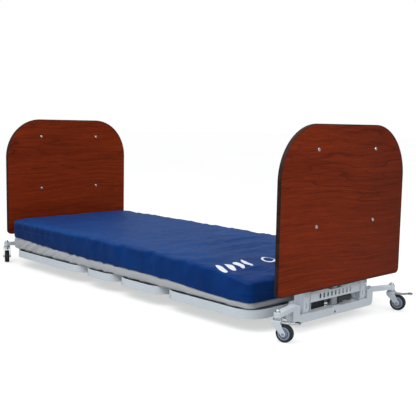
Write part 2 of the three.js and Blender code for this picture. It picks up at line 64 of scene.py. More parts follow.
# ------------------------------------------------------------------ node materials
class Mat:
    """A small builder for node materials: every helper returns an output socket."""

    def __init__(self, name):
        self.m = bpy.data.materials.new(name)
        self.m.use_nodes = True
        self.t = self.m.node_tree
        self.b = self.t.nodes["Principled BSDF"]

    def node(self, kind, **kw):
        n = self.t.nodes.new(kind)
        for k, v in kw.items():
            setattr(n, k, v)
        return n

    def link(self, a, b):
        self.t.links.new(a, b)

    def put(self, socket, v):
        if hasattr(v, "is_output"):
            self.link(v, socket)
        else:
            socket.default_value = v

    def coords(self, attr=None):
        if attr:
            n = self.node("ShaderNodeAttribute")
            n.attribute_name = attr
            return n.outputs["Vector"]
        return self.node("ShaderNodeTexCoord").outputs["Object"]

    def value_attr(self, attr):
        n = self.node("ShaderNodeAttribute")
        n.attribute_name = attr
        return n.outputs["Fac"]

    def mapping(self, vec, scale=(1, 1, 1), loc=(0, 0, 0), rot=(0, 0, 0)):
        n = self.node("ShaderNodeMapping")
        n.inputs["Scale"].default_value = scale
        n.inputs["Location"].default_value = loc
        n.inputs["Rotation"].default_value = rot
        self.link(vec, n.inputs["Vector"])
        return n.outputs["Vector"]

    def noise(self, vec, scale, detail=2.0, rough=0.5, distort=0.0, out="Fac"):
        n = self.node("ShaderNodeTexNoise")
        self.put(n.inputs["Vector"], vec)
        n.inputs["Scale"].default_value = scale
        n.inputs["Detail"].default_value = detail
        n.inputs["Roughness"].default_value = rough
        n.inputs["Distortion"].default_value = distort
        return n.outputs[out]

    def math(self, op, a, b=0.0, c=None, clamp=False):
        n = self.node("ShaderNodeMath", operation=op, use_clamp=clamp)
        self.put(n.inputs[0], a)
        self.put(n.inputs[1], b)
        if c is not None:
            self.put(n.inputs[2], c)
        return n.outputs[0]

    def ramp(self, fac, stops, interp="LINEAR"):
        n = self.node("ShaderNodeValToRGB")
        n.color_ramp.interpolation = interp
        e = n.color_ramp.elements
        while len(e) < len(stops):
            e.new(0.5)
        for el, (p, c) in zip(e, stops):
            el.position = p
            el.color = (*c, 1) if isinstance(c, (tuple, list)) else (c, c, c, 1)
        self.put(n.inputs["Fac"], fac)
        return n.outputs["Color"]

    def mix(self, fac, a, b, mode="MIX"):
        n = self.node("ShaderNodeMix", data_type="RGBA", blend_type=mode)
        self.put(n.inputs[0], fac)
        for s, v in ((n.inputs[6], a), (n.inputs[7], b)):
            if isinstance(v, tuple):
                v = (*v, 1) if len(v) == 3 else v
            self.put(s, v)
        return n.outputs[2]

    def bump(self, height, strength=0.2, distance=0.001, normal=None):
        n = self.node("ShaderNodeBump")
        n.inputs["Strength"].default_value = strength
        n.inputs["Distance"].default_value = distance
        self.link(height, n.inputs["Height"])
        if normal is not None:
            self.link(normal, n.inputs["Normal"])
        return n.outputs["Normal"]

    def xyz(self, vec):
        n = self.node("ShaderNodeSeparateXYZ")
        self.link(vec, n.inputs[0])
        return n.outputs

    def set(self, **kw):
        names = {"color": "Base Color", "rough": "Roughness", "metal": "Metallic", "normal": "Normal",
                 "sheen": "Sheen Weight", "sheen_rough": "Sheen Roughness", "spec": "Specular IOR Level",
                 "coat": "Coat Weight", "coat_rough": "Coat Roughness", "sheen_tint": "Sheen Tint"}
        for k, v in kw.items():
            s = self.b.inputs[names[k]]
            if isinstance(v, tuple) and len(v) == 3 and s.type == "RGBA":
                v = (*v, 1)
            self.put(s, v)
        return self.m


def srgb(r, g, b):
    f = lambda c: (c / 255 / 12.92) if c <= 10 else ((c / 255 + 0.055) / 1.055) ** 2.4
    return (f(r), f(g), f(b))


def paint_material(name, rgb, dark=0.0):
    """Satin powder coat: faint orange peel, slight tone drift, patchy dullness and faint darker scuff streaks."""
    k = Mat(name)
    co = k.coords()
    drift = k.noise(co, 6, 3, 0.6)
    fine = k.noise(co, 900, 1.5, 0.5)
    scuff = k.noise(k.mapping(co, (40, 220, 60)), 1.0, 5, 0.7, 0.4)
    lo = tuple(c * 0.86 for c in rgb)
    base = k.mix(k.math("MULTIPLY", drift, 0.9, clamp=True), lo, rgb)
    mark = k.ramp(scuff, [(0.66, 0.0), (0.74, 1.0)])
    base = k.mix(k.math("MULTIPLY", mark, 0.16), base, tuple(min(1, c * 0.55) for c in rgb))
    n = k.bump(fine, 0.12, 0.0004, k.bump(k.noise(co, 240, 2), 0.08, 0.0006))
    return k.set(color=base, rough=k.ramp(drift, [(0.2, 0.34), (0.8, 0.47)]), metal=0.0, normal=n, coat=0.12, coat_rough=0.25)


def wood_material(name, seed, flip=1.0, painted_shade_way=None):
    """Cherry wood-grain laminate, grain running across the board: streaks, pores and a few long figure lines, with
    optional painted shade across it.
    """
    k = Mat(name)
    raw = k.coords()
    co = k.mapping(raw, (0, flip, 1), (seed * 1.7, seed * 3.1, seed * 0.9))
    x, y, z = k.xyz(co)
    # slow waviness of the grain along the board
    warp = k.noise(k.mapping(co, (1, 1.1, 2.2)), 1.0, 2, 0.5)
    warp2 = k.noise(k.mapping(co, (1, 9.0, 24.0)), 1.0, 2, 0.5)
    zz = k.math("ADD", z, k.math("ADD", k.math("MULTIPLY", warp, 0.13), k.math("MULTIPLY", warp2, 0.010)))
    comb = k.node("ShaderNodeCombineXYZ")
    k.link(x, comb.inputs[0]); k.link(y, comb.inputs[1]); k.link(zz, comb.inputs[2])
    g = comb.outputs[0]
    streak = k.noise(k.mapping(g, (1, 3.2, 165)), 1.0, 4, 0.7)       # medium streaks
    fine = k.noise(k.mapping(g, (1, 13, 430)), 1.0, 3, 0.65)         # fine fibres
    pores = k.noise(k.mapping(g, (1, 34, 800)), 1.0, 2, 0.6)
    broad = k.noise(k.mapping(g, (1, 0.9, 7)), 1.0, 2, 0.5)
    # growth lines: thin dark contours of the rising field, only where the figure is strong
    loops = k.noise(k.mapping(co, (1, 1.5, 14.0)), 1.0, 1.5, 0.45, 0.12)
    field = k.math("FRACT", k.math("ADD", k.math("MULTIPLY", zz, 13.0), k.math("MULTIPLY", loops, 6.5)))
    line = k.ramp(field, [(0.0, 1.0), (0.06, 0.45), (0.24, 0.0), (0.93, 0.05), (1.0, 1.0)])
    where = k.ramp(k.noise(k.mapping(co, (1, 1.1, 6.5)), 1.0, 2, 0.5), [(0.44, 0.0), (0.58, 1.0)])
    lines = k.math("MULTIPLY", k.math("MULTIPLY", line, where), k.ramp(fine, [(0.30, 0.45), (0.60, 1.0)]))
    tone = k.math("ADD", k.math("MULTIPLY", streak, 0.50), k.math("ADD", k.math("MULTIPLY", fine, 0.40), k.math("MULTIPLY", broad, 0.20)))
    col = k.ramp(tone, [(0.36, srgb(74, 20, 4)), (0.47, srgb(103, 32, 7)), (0.60, srgb(124, 42, 11)), (0.76, srgb(148, 56, 18))])
    col = k.mix(k.math("MULTIPLY", lines, 0.66), col, srgb(40, 11, 5))
    pm = k.ramp(pores, [(0.58, 0.0), (0.68, 1.0)])
    col = k.mix(k.math("MULTIPLY", pm, 0.42), col, srgb(50, 14, 5))
    if painted_shade_way:    # painted shade: a little darker towards one side and the top, standing in for the light falling off across the board
        rx, ry, rz = k.xyz(raw)
        fall = k.math("ADD", k.math("MULTIPLY", ry, painted_shade_way[0]), k.math("MULTIPLY", rz, painted_shade_way[1]))
        col = k.mix(k.ramp(fall, [(0.0, 0.0), (1.0, 1.0)]), col, k.mix(1.0, col, (0.56, 0.56, 0.60), "MULTIPLY"))
    h = k.math("ADD", k.math("MULTIPLY", fine, 0.6), k.math("MULTIPLY", pm, -0.7))
    return k.set(color=col, rough=k.ramp(fine, [(0.3, 0.38), (0.7, 0.50)]), normal=k.bump(h, 0.10, 0.0003), spec=0.08)


def edge_material():
    k = Mat("edge_band")
    co = k.coords()
    d = k.noise(co, 25, 3, 0.6)
    col = k.ramp(d, [(0.3, srgb(30, 15, 11)), (0.7, srgb(58, 35, 28))])
    return k.set(color=col, rough=k.ramp(d, [(0.3, 0.42), (0.7, 0.58)]), normal=k.bump(k.noise(co, 700, 2), 0.1, 0.0003), spec=0.15)


def metal_material(name, rgb, rough, brushed=None, tarnish=0.15):
    k = Mat(name)
    co = k.coords()
    d = k.noise(co, 30, 4, 0.6)
    v = k.mapping(co, brushed or (1, 1, 1))
    b = k.noise(v, 1.0 if brushed else 300, 2, 0.5)
    col = k.mix(k.math("MULTIPLY", d, tarnish), rgb, tuple(c * 0.45 for c in rgb))
    return k.set(color=col, metal=1.0, rough=k.ramp(d, [(0.3, rough * 0.75), (0.75, rough * 1.5)]), normal=k.bump(b, 0.08, 0.0002))


def rubber_material():
    k = Mat("tyre_rubber")
    co = k.coords()
    d = k.noise(co, 60, 4, 0.65)
    col = k.ramp(d, [(0.35, srgb(20, 20, 22)), (0.62, srgb(34, 34, 36)), (0.8, srgb(58, 56, 54))])
    return k.set(color=col, rough=k.ramp(d, [(0.3, 0.55), (0.8, 0.8)]), normal=k.bump(k.noise(co, 500, 3), 0.2, 0.0004))


def plastic_material(name, rgb, rough=0.45, grain=1400, strength=0.15):
    k = Mat(name)
    co = k.coords()
    d = k.noise(co, 18, 3, 0.6)
    v = k.node("ShaderNodeTexVoronoi"); v.inputs["Scale"].default_value = grain
    k.link(co, v.inputs["Vector"])
    col = k.mix(k.math("MULTIPLY", d, 0.5), rgb, tuple(c * 0.72 for c in rgb))
    return k.set(color=col, rough=k.ramp(d, [(0.3, rough * 0.85), (0.7, rough * 1.15)]), normal=k.bump(v.outputs["Distance"], strength, 0.0003))


PAINT = paint_material("frame_powder_coat", srgb(213, 222, 230))
PAN = paint_material("pan_powder_coat", srgb(204, 214, 223))
STEEL = metal_material("zinc_steel", srgb(176, 180, 184), 0.34, (60, 60, 900))
CHROME = metal_material("chrome", srgb(222, 225, 228), 0.12, None, 0.25)
RUBBER = rubber_material()
HUB = plastic_material("hub_plastic", srgb(146, 163, 186), 0.38)
MOTOR = plastic_material("motor_plastic", srgb(46, 48, 52), 0.5)
EDGE = edge_material()
WOOD_HEAD = wood_material("cherry_laminate_head", 1.0)
# the foot board's laminate gets painted shade: darker towards one side and the top
WOOD_FOOT = wood_material("cherry_laminate_foot", 2.63, painted_shade_way=(1.25, 0.12))
PAD = plastic_material("pedal_pad", srgb(30, 31, 33), 0.6)


# ------------------------------------------------------------------ mesh helpers (metres)
def link(obj):
    scene.collection.objects.link(obj)
    return obj


def mesh_object(name, verts, faces, mat, smooth=None):
    me = bpy.data.meshes.new(name)
    me.from_pydata([tuple(v) for v in verts], [], [tuple(f) for f in faces])
    me.validate()
    me.update()
    me.materials.append(mat)
    if smooth is not None:
        shade(me, smooth)
    return link(bpy.data.objects.new(name, me))


def shade(me, angle=35):
    """Smooth faces, with edges sharper than the angle kept hard."""
    bm = bmesh.new()
    bm.from_mesh(me)
    for f in bm.faces:
        f.smooth = True
    lim = math.radians(angle)
    for e in bm.edges:
        e.smooth = not (len(e.link_faces) == 2 and e.calc_face_angle(0) > lim)
    bm.to_mesh(me)
    bm.free()


def lathe(name, profile, mat, seg=64, frame_m=None, smooth=40):
    """Turned closed shape about local Z; profile is [radius, height] in mm, radius 0 at the ends or a closed loop."""
    pts = [(r / 1000, z / 1000) for r, z in profile]
    closed = abs(pts[0][0]) > 1e-9
    verts, rows = [], []
    for r, z in (pts[:-1] if closed else pts):
        if r < 1e-9:
            rows.append([len(verts)])
            verts.append((0, 0, z))
        else:
            rows.append(list(range(len(verts), len(verts) + seg)))
            verts += [(r * math.cos(2 * math.pi * i / seg), r * math.sin(2 * math.pi * i / seg), z) for i in range(seg)]
    faces = []
    n = len(rows)
    for a in range(n if closed else n - 1):
        p, q = rows[a], rows[(a + 1) % n]
        for i in range(seg):
            j = (i + 1) % seg
            if len(p) == 1:
                faces.append((p[0], q[j], q[i]))
            elif len(q) == 1:
                faces.append((p[i], p[j], q[0]))
            else:
                faces.append((p[i], p[j], q[j], q[i]))
    o = mesh_object(name, verts, faces, mat)
    bm = bmesh.new(); bm.from_mesh(o.data)
    bmesh.ops.recalc_face_normals(bm, faces=bm.faces)
    bm.to_mesh(o.data); bm.free()
    if frame_m is not None:
        o.data.transform(frame_m)
    shade(o.data, smooth)
    return o


def slab(name, outline, depth, mat, m=None, bevel=0.8, holes=(), seg=3, smooth=35):
    """A plate: 2D outline (mm) in local XY with holes, extruded along +Z by depth, edges rounded."""
    bm = bmesh.new()
    loops = []
    for pts in [outline, *holes]:
        vs = [bm.verts.new((x / 1000, y / 1000, 0)) for x, y in pts]
        loops.append([bm.edges.new((vs[i], vs[(i + 1) % len(vs)])) for i in range(len(vs))])
    edges = [e for l in loops for e in l]
    bmesh.ops.triangle_fill(bm, use_beauty=True, use_dissolve=True, edges=edges)
    if holes:  # keep only faces inside the outline and outside every hole
        bad = [f for f in bm.faces if any(inside((f.calc_center_median().x * 1000, f.calc_center_median().y * 1000), h) for h in holes)]
        bmesh.ops.delete(bm, geom=bad, context="FACES_ONLY")
    r = bmesh.ops.extrude_face_region(bm, geom=list(bm.faces))
    vs = [g for g in r["geom"] if isinstance(g, bmesh.types.BMVert)]
    bmesh.ops.translate(bm, verts=vs, vec=(0, 0, depth / 1000))
    bmesh.ops.recalc_face_normals(bm, faces=bm.faces)
    me = bpy.data.meshes.new(name)
    bm.to_mesh(me)
    bm.free()
    me.materials.append(mat)
    if m is not None:
        me.transform(m)
    o = link(bpy.data.objects.new(name, me))
    if bevel:
        round_edges(o, bevel, seg)
    shade(o.data, smooth)
    w = o.modifiers.new("w", "WEIGHTED_NORMAL")   # flat faces stay flat next to their rounded edges
    w.keep_sharp = True
    apply_modifiers(o)
    return o


def inside(p, poly):
    x, y = p
    hit = False
    for i in range(len(poly)):
        (x0, y0), (x1, y1) = poly[i], poly[i - 1]
        if (y0 > y) != (y1 > y) and x < (x1 - x0) * (y - y0) / (y1 - y0) + x0:
            hit = not hit
    return hit


def round_edges(o, width, seg=2, angle=30):
    """Applies a bevel to a piece's own mesh."""
    b = o.modifiers.new("b", "BEVEL")
    b.width = width / 1000
    b.segments = seg
    b.limit_method = "ANGLE"
    b.angle_limit = math.radians(angle)
    apply_modifiers(o)


def apply_modifiers(o):
    dg = bpy.context.evaluated_depsgraph_get()
    me = bpy.data.meshes.new_from_object(o.evaluated_get(dg))
    old = o.data
    o.modifiers.clear()
    o.data = me
    if old.users == 0:
        bpy.data.meshes.remove(old)


def join(name, objs):
    """Joins pieces into one object, keeping their materials."""
    bm = bmesh.new()
    mats = []
    for o in objs:
        idx = []
        for m in o.data.materials:
            if m not in mats:
                mats.append(m)
            idx.append(mats.index(m))
        me = o.data.copy()
        me.transform(o.matrix_world)
        start = len(bm.faces)
        bm.from_mesh(me)
        bm.faces.ensure_lookup_table()
        for f in bm.faces[start:]:
            f.material_index = idx[f.material_index] if idx else 0
        bpy.data.meshes.remove(me)
    out = bpy.data.meshes.new(name)
    bm.to_mesh(out)
    bm.free()
    for m in mats:
        out.materials.append(m)
    for o in objs:
        me = o.data
        bpy.data.objects.remove(o)
        if me.users == 0:
            bpy.data.meshes.remove(me)
    return link(bpy.data.objects.new(name, out))


def arc(cx, cy, r, a0, a1, n):
    return [(cx + r * math.cos(math.radians(a0 + (a1 - a0) * i / n)), cy + r * math.sin(math.radians(a0 + (a1 - a0) * i / n))) for i in range(n + 1)]


def rounded(x0, x1, y0, y1, r, n=10):
    a, b, c, d = r if isinstance(r, (list, tuple)) else (r,) * 4
    return arc(x0 + a, y0 + a, a, 180, 270, n) + arc(x1 - b, y0 + b, b, 270, 360, n) + arc(x1 - c, y1 - c, c, 0, 90, n) + arc(x0 + d, y1 - d, d, 90, 180, n)


def dense(poly, step):
    """Adds points along a closed outline so that no side is longer than step."""
    out = []
    for i, p in enumerate(poly):
        q = poly[(i + 1) % len(poly)]
        l = math.dist(p, q)
        n = max(1, int(l / step))
        out += [(p[0] + (q[0] - p[0]) * k / n, p[1] + (q[1] - p[1]) * k / n) for k in range(n)]
    return out


def axes(origin, x, y, z):
    """Matrix whose columns are the given axes, at an origin in mm."""
    m = Matrix.Identity(4)
    for i, v in enumerate((x, y, z)):
        for j in range(3):
            m[j][i] = v[j]
    for j in range(3):
        m[j][3] = origin[j] / 1000
    return m



# ------------------------------------------------------------------ CAD nodes that keep their shape
def finish_cad(name, mat, bevel=0.9, angle=24):
    """Gives a CAD node its material, welded edges with a small round, and smooth shading."""
    o = NODES[name]
    o.data.materials.clear()
    o.data.materials.append(mat)
    for p in o.data.polygons:
        p.use_smooth = True
    if o.data.has_custom_normals:
        bpy.context.view_layer.objects.active = o
        with bpy.context.temp_override(object=o, active_object=o, selected_objects=[o]):
            bpy.ops.mesh.customdata_custom_splitnormals_clear()
    w = o.modifiers.new("weld", "WELD")
    w.merge_threshold = 2e-5
    if bevel:
        b = o.modifiers.new("round", "BEVEL")
        b.width = bevel / 1000
        b.segments = 2
        b.limit_method = "ANGLE"
        b.angle_limit = math.radians(angle)
        b.use_clamp_overlap = True
        b.harden_normals = False
    n = o.modifiers.new("normals", "WEIGHTED_NORMAL")
    n.keep_sharp = False
    return o


for end in ("head", "foot"):
    finish_cad(f"{end}_base_frame", PAINT, 1.2)
    finish_cad(f"{end}_cross_plate", PAINT, 0.5)
    finish_cad(f"{end}_top_crossbar", PAINT, 1.2)
    finish_cad(f"{end}_lift_actuator_tube", STEEL, 0.8)
    finish_cad(f"{end}_lift_actuator_rod", CHROME, 0.6)
    finish_cad(f"{end}_lift_motor", MOTOR, 1.5)
    finish_cad(f"{end}board_mounting_frame", STEEL, 0.5)
    for side in ("left", "right"):
        finish_cad(f"{end}_inner_column_{side}", STEEL, 0.8)
        finish_cad(f"{end}_mast_sleeve_{side}", PAINT, 0.7)
for n in ("back", "seat", "thigh", "calf"):
    finish_cad(f"{n}_section_frame", PAINT, 0.8)
finish_cad("deck_main_frame", PAINT, 0.9)
finish_cad("control_box", MOTOR, 1.5)
for n in ("back", "knee"):
    finish_cad(f"{n}_actuator_body", MOTOR, 1.2)
    finish_cad(f"{n}_actuator_rod", CHROME, 0.6)


# ------------------------------------------------------------------ boards
def board(end):
    lo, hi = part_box(f"{end}board_panel")
    elo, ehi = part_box(f"{end}board_edge_trim")
    x0, x1 = lo.x * 1000, hi.x * 1000
    y0, y1, z0, z1 = elo.y * 1000, ehi.y * 1000, elo.z * 1000, ehi.z * 1000
    rt, rb, band = 240, 25, 3.2
    # local x -> +Y, local y -> +Z, local z -> +X
    m = axes((x0, 0, 0), (0, 1, 0), (0, 0, 1), (1, 0, 0))
    outer = lambda t, n=28: rounded(y0 + t, y1 - t, z0 + t, z1 - t, [rb - t, rb - t, rt - t, rt - t], n)
    holes = [arc(s * 210, z, 5.2, 0, 330, 11) for s in (-1, 1) for z in (464, 794)]
    panel = slab(f"{end}board_laminate", outer(band + 0.05), x1 - x0, WOOD_HEAD if end == "head" else WOOD_FOOT, m, 0.35, holes, 2)
    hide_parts(f"{end}board_panel")
    # moulded edge: a crowned strip swept round the outline
    t = (x1 - x0) / 2 + 0.35
    sect = [(band, -t), (0.9, -t), (0.35, -t + 0.5), (0.0, -t + 2.2), (0.0, 0), (0.0, t - 2.2), (0.35, t - 0.5), (0.9, t), (band, t)]
    path = [outer(d) for d, _ in sect]
    n = len(path[0])
    verts, faces = [], []
    for (d, h), ring in zip(sect, path):
        verts += [((x0 + x1) / 2000 + h / 1000, p[0] / 1000, p[1] / 1000) for p in ring]
    k = len(sect)
    for a in range(k):
        b = (a + 1) % k
        for i in range(n):
            j = (i + 1) % n
            faces.append((a * n + i, a * n + j, b * n + j, b * n + i))
    edge = mesh_object(f"{end}board_edge_band", verts, faces, EDGE, 30)
    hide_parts(f"{end}board_edge_trim")
    for o in (panel, edge):
        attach(o, "deck")
    frame_obj = NODES[f"{end}board_mounting_frame"]     # the cap nuts on the face are bright, the rest plain zinc
    frame_obj.data.materials.append(CHROME)
    for p in frame_obj.data.polygons:
        if (frame_obj.matrix_world @ p.center).x * 1000 > x1 + 0.02:
            p.material_index = 1
    # seating washers under the cap nuts
    for s in (-1, 1):
        for z in (464, 794):
            w = lathe(f"{end}board_washer_{'r' if s < 0 else 'l'}{z}", [[4.6, 0.05], [8.1, 0.05], [8.4, 0.3], [8.0, 0.7], [4.6, 0.7], [4.6, 0.05]], STEEL, 40,
                      axes((x1, s * 210, z), (0, 1, 0), (0, 0, 1), (1, 0, 0)))
            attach(w, "deck")


board("head")
board("foot")


# ------------------------------------------------------------------ casters
def caster(name, at, heading):
    a = math.radians(heading)
    d, l = (math.cos(a), math.sin(a), 0), (-math.sin(a), math.cos(a), 0)
    base = axes((at[0], at[1], 0), d, l, (0, 0, 1))          # local x trails, z up
    wheel = base @ Matrix.Translation((0.035, 0, 0.038)) @ Matrix(((1, 0, 0, 0), (0, 0, 1, 0), (0, -1, 0, 0), (0, 0, 0, 1)))  # local z = axle
    R = 38
    tyre = lathe(f"tyre_{name}", [[27.9, -12.6], [29.5, -13.6], [32.5, -14.2], [35.2, -13.2], [37.0, -10.6], [37.8, -6.5], [R, -2], [R, 2], [37.8, 6.5], [37.0, 10.6], [35.2, 13.2], [32.5, 14.2], [29.5, 13.6], [27.9, 12.6], [27.9, -12.6]], RUBBER, 72, wheel, 30)
    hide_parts(f"caster_tyre_{name}"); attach(tyre, "wheel_" + name)
    half = [[4.7, 15.4], [8.6, 15.4], [9.4, 14.8], [9.7, 12.8], [10.2, 9.8], [12.2, 9.6], [12.8, 12.6], [13.8, 13.6], [16.6, 13.6], [17.6, 12.6], [18.0, 9.4], [19.4, 9.2], [20.0, 12.2], [20.9, 13.5], [25.2, 13.7], [27.0, 12.9], [27.6, 12.2]]
    prof = [[r, -z] for r, z in half] + [[r, z] for r, z in half[::-1]] + [[4.7, -15.4]]
    hub = lathe(f"hub_{name}", prof, HUB, 64, None, 30)
    hub.data.materials.append(MOTOR)   # painted shade: the two deep grooves get the dark plastic, standing in for the shadow in their recesses
    for f in hub.data.polygons:
        c = sum((hub.data.vertices[v].co for v in f.vertices), Vector()) / len(f.vertices)
        if abs(c.z) < 0.0112:
            f.material_index = 1
    hub.data.transform(wheel)
    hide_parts(f"caster_hub_{name}"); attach(hub, "wheel_" + name)
    # fork: two pressed cheeks, the crown and the axle
    cheek = [(-17, 89.5), (-19, 84), (-16, 72), *arc(35, R, 12, 198, 388, 16), (33.5, 60), (27, 74), (21, 82), (19.5, 89.5)]
    side = axes((0, 0, 0), (1, 0, 0), (0, 0, 1), (0, -1, 0))  # local x -> x, y -> z, extrusion -> -y
    hole = arc(35, R, 4.3, 0, 330, 11)
    parts = []
    for y in (21.3, -18.3):
        parts.append(slab("cheek", cheek, 3.0, PAINT, base @ Matrix.Translation((0, y / 1000, 0)) @ side, 0.9, [hole], 3))
    crown = slab("crown", rounded(-18.2, 19.5, -20.2, 20.2, 5, 5), 6.8, PAINT, base @ Matrix.Translation((0, 0, 0.0834)), 1.2)
    parts.append(crown)
    fork = join(f"fork_{name}", parts)
    axle_m = base @ Matrix.Translation((0.035, 0, 0.038)) @ Matrix(((1, 0, 0, 0), (0, 0, 1, 0), (0, -1, 0, 0), (0, 0, 0, 1)))
    pin = lathe("pin", [[0, -25.4], [3.2, -25.2], [4.0, -24.4], [4.0, 24.4], [3.2, 25.2], [0, 25.4]], STEEL, 32, axle_m)
    hexes = []
    for s in (-1, 1):
        hx = slab("hex", [(6.6 * math.cos(math.radians(60 * i)), 6.6 * math.sin(math.radians(60 * i))) for i in range(6)], 3.4, STEEL,
                  axle_m @ Matrix.Translation((0, 0, 0.0213 if s > 0 else -0.0247)), 0.5)
        hexes.append(hx)
    swivel = lathe("swivel", [[0, 90.2], [19.0, 90.2], [20.4, 89.4], [20.8, 87.6], [19.8, 86.2], [16, 85.6], [0, 85.6]], CHROME, 64, base)
    hardware = join(f"axle_and_swivel_{name}", [pin, *hexes, swivel])
    fork_all = join(f"fork_{name}", [fork, hardware])
    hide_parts(f"caster_fork_{name}"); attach(fork_all, "caster_fork_" + name)
    # stem: race cup, stem, washer and domed nut
    stem = lathe("stem", [[0, 91.0], [18.2, 91.0], [19.0, 91.6], [19.0, 93.4], [17.6, 94.0], [17.6, 94.8], [19.0, 95.4], [18.6, 96.6], [16.6, 97.6], [6.0, 97.6], [6.0, 122.3], [12.6, 122.3], [12.9, 122.9], [12.6, 123.7], [0, 123.7]], CHROME, 64, base)
    nut = slab("nut", [(10.9 * math.cos(math.radians(60 * i + 12)), 10.9 * math.sin(math.radians(60 * i + 12))) for i in range(6)], 5.6, CHROME, base @ Matrix.Translation((0, 0, 0.1237)), 0.7)
    dome = lathe("dome", [[0, 128.8], [9.2, 128.8], [9.0, 130.6], [8.0, 132.6], [6.0, 134.2], [3.2, 135.0], [0, 135.2]], CHROME, 48, base)
    stem = join(f"stem_{name}", [stem, nut, dome])
    end = name.split("_")[0]
    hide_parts(f"caster_stem_{name}"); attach(stem, end + "_base")
    # brake pedal: pressed lever with a rolled root, side beads and a rubber tread
    prof = [(17.5, 79.4), (57, 79.4), (67, 81.0), (82, 84.0), (94, 84.6), (102.6, 84.2), (104.4, 86.6), (102.6, 91.0), (96, 91.8), (83, 91.3), (66, 88.2), (56, 86.2), (17.5, 86.0)]
    lever = slab("lever", prof, 24, CHROME, base @ Matrix.Translation((0, 0.012, 0)) @ side, 1.2, (), 3)
    barrel = lathe("barrel", [[0, -17.4], [3.3, -17.4], [3.3, 17.4], [0, 17.4]], CHROME, 32, base @ Matrix.Translation((0.0215, 0, 0.0828)) @ Matrix(((1, 0, 0, 0), (0, 0, 1, 0), (0, -1, 0, 0), (0, 0, 0, 1))))
    tread = slab("tread", rounded(84, 101.4, -11, 11, 4, 5), 1.6, PAD, base @ Matrix.Translation((0, 0, 0.0912)), 0.5)
    grooves = [slab("bead", rounded(86 + 3.8 * i, 87.8 + 3.8 * i, -8.6, 8.6, 0.8, 3), 0.9, PAD, base @ Matrix.Translation((0, 0, 0.0926)), 0.25) for i in range(4)]
    pedal = join(f"brake_pedal_{name}", [lever, barrel, tread, *grooves])
    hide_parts(f"caster_brake_pedal_{name}"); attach(pedal, "brake_pedal_" + name)


STEMS = {}
for j in frame["joints"]:
    if j["name"].startswith("swivel_"):
        STEMS[j["name"][7:]] = (j["pos_m"][0] * 1000, j["pos_m"][1] * 1000)
HEADINGS = {"foot_right": 15, "foot_left": 15, "head_right": -28, "head_left": 28}
for n, at in STEMS.items():
    caster(n, at, HEADINGS[n])


# ------------------------------------------------------------------ roller tracks on the sides of the masts
def mast_tracks(end, side):
    lo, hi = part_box(f"{end}_mast_sleeve_{side}")
    parts = []
    for y, out in ((lo.y, -1), (hi.y, 1)):
        for share, w in ((0.16, 4.0), (0.36, 2.4), (0.60, 2.4), (0.82, 4.0)):
            x = (lo.x + (hi.x - lo.x) * share) * 1000
            parts.append(slab("t", [(x - w / 2, -0.2), (x + w / 2, -0.2), (x + w / 2 - 0.4, 1.5), (x - w / 2 + 0.4, 1.5)], (hi.z - lo.z) * 1000 - 8, PAINT,
                              axes((0, y * 1000, lo.z * 1000 + 4), (1, 0, 0), (0, out, 0), (0, 0, 1)), 0.3, (), 2))
    o = join(f"{end}_mast_tracks_{side}", parts)
    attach(o, "deck")


for end in ("head", "foot"):
    for side in ("left", "right"):
        mast_tracks(end, side)


# ------------------------------------------------------------------ painted shade: a dark ribbed sheet between the foot masts, behind the cross plate, standing in for the shadowed space under the bed
def foot_painted_shade_sheet():
    ym = axes((1032.85, 0, 0), (0, 1, 0), (0, 0, 1), (1, 0, 0))
    sheet = slab("sheet", [(-182, 60), (-14, 60), (-14, 150), (182, 150), (182, 181), (-182, 181)], 1.0, MOTOR, ym, 0.3, (), 2)
    ribs = [slab("rib", [(y - 1.2, 88), (y + 1.2, 88), (y + 1.2, 118), (y - 1.2, 118)], 4.0, MOTOR, axes((1033.7, 0, 0), (0, 1, 0), (0, 0, 1), (1, 0, 0)), 0.4, (), 2) for y in (-168, -140, -112, -84, -56, -28)]
    o = join("foot_mast_painted_shade_sheet", [sheet, *ribs])
    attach(o, "deck")


foot_painted_shade_sheet()


# ------------------------------------------------------------------ mattress
# One closed lattice surface, rounded at every edge: a blue stretch cover over a grey base, with a hem where they
# meet. It is cut at mid-seat and mid-thigh into three pieces, each spanning one hinge.
JOINT = {j["name"]: j for j in frame["joints"]}
HINGE = {n: (JOINT[n]["pos_m"][0] * 1000, JOINT[n]["pos_m"][2] * 1000) for n in ("back_raise", "knee_raise", "calf_drop")}
MX0, MX1, MHW, MZ0, MZ1 = -1066.0, 963.0, 441.0, 101.2, 280.0
SPLIT = (-148.0, 195.0)
EDGE_R, FOOT_R = 22.0, 7.0      # upper and lower edge rounding


def seam_z(x):
    return np.interp(x, [-1067, -900, -600, -237, 34, 280, 440, 504, 644, 742, 838, 964], [177, 171, 159.5, 152.5, 151, 150, 147, 144, 136, 132, 130, 131])


def top_z(x, y):
    c = np.interp(x, [-1067, -1030, -600, 0, 300, 450, 600, 700, 850, 964], [286, 288, 286.5, 283, 279.5, 275, 269, 262.5, 248.5, 232])
    return c - np.where(y < 0, 9.5, 3.5) * np.clip(np.abs(y) / MHW, 0, 1) ** 3


def graded(a, b, step, edge, fine):
    n = max(1, round(edge / fine))
    m = max(1, round((b - a - 2 * edge) / step))
    return np.concatenate([np.linspace(a, a + edge, n + 1)[:-1], np.linspace(a + edge, b - edge, m + 1)[:-1], np.linspace(b - edge, b, n + 1)])


